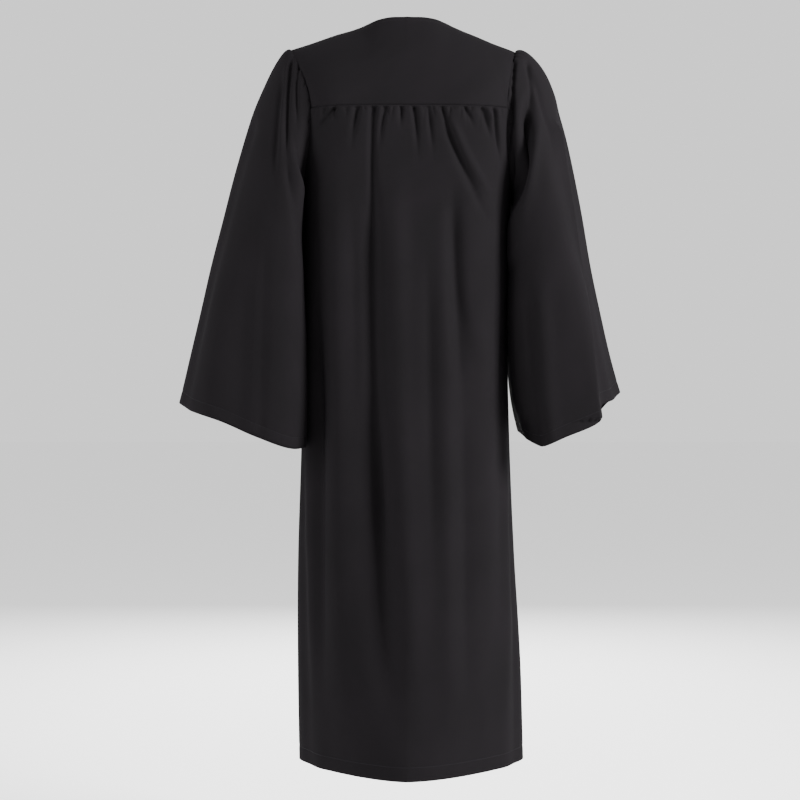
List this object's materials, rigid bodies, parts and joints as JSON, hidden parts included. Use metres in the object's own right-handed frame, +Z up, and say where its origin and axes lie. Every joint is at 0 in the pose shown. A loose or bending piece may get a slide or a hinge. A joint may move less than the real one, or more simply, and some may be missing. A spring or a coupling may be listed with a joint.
{
  "type": "graduation gown",
  "caption": "Plain black matte graduation gown, full length, worn hollow form, gathered yoke back, open bell sleeves, front zip.",
  "frame": {"origin": "middle of the neck, level with the two places beside it where the yoke lies on the wearer's shoulders", "axes": "+Z up along the gown, -Y towards the front with the zip, +X towards the wearer's left"},
  "size_m": [0.7302, 0.3568, 1.2095],
  "materials": {
    "cloth": "matte black woven polyester",
    "tape": "black woven zip tape with nylon coil",
    "metal": "black enamelled zinc"
  },
  "bodies": {
    "gown": {"yoke": "cloth", "back": "cloth", "front_left": "cloth", "front_right": "cloth", "sleeve_left": "cloth", "sleeve_right": "cloth", "zip_tape_left": "tape", "zip_tape_right": "tape", "zip_slider": "metal"},
    "pull": {"zip_pull": "metal"}
  },
  "joints": [
    {"name": "pull_swing", "type": "hinge", "parent": "gown", "child": "pull", "pos_m": [0, -0.11669, -0.10853], "axis": [-1, 0, 0], "range_deg": [0, 150]}
  ]
}
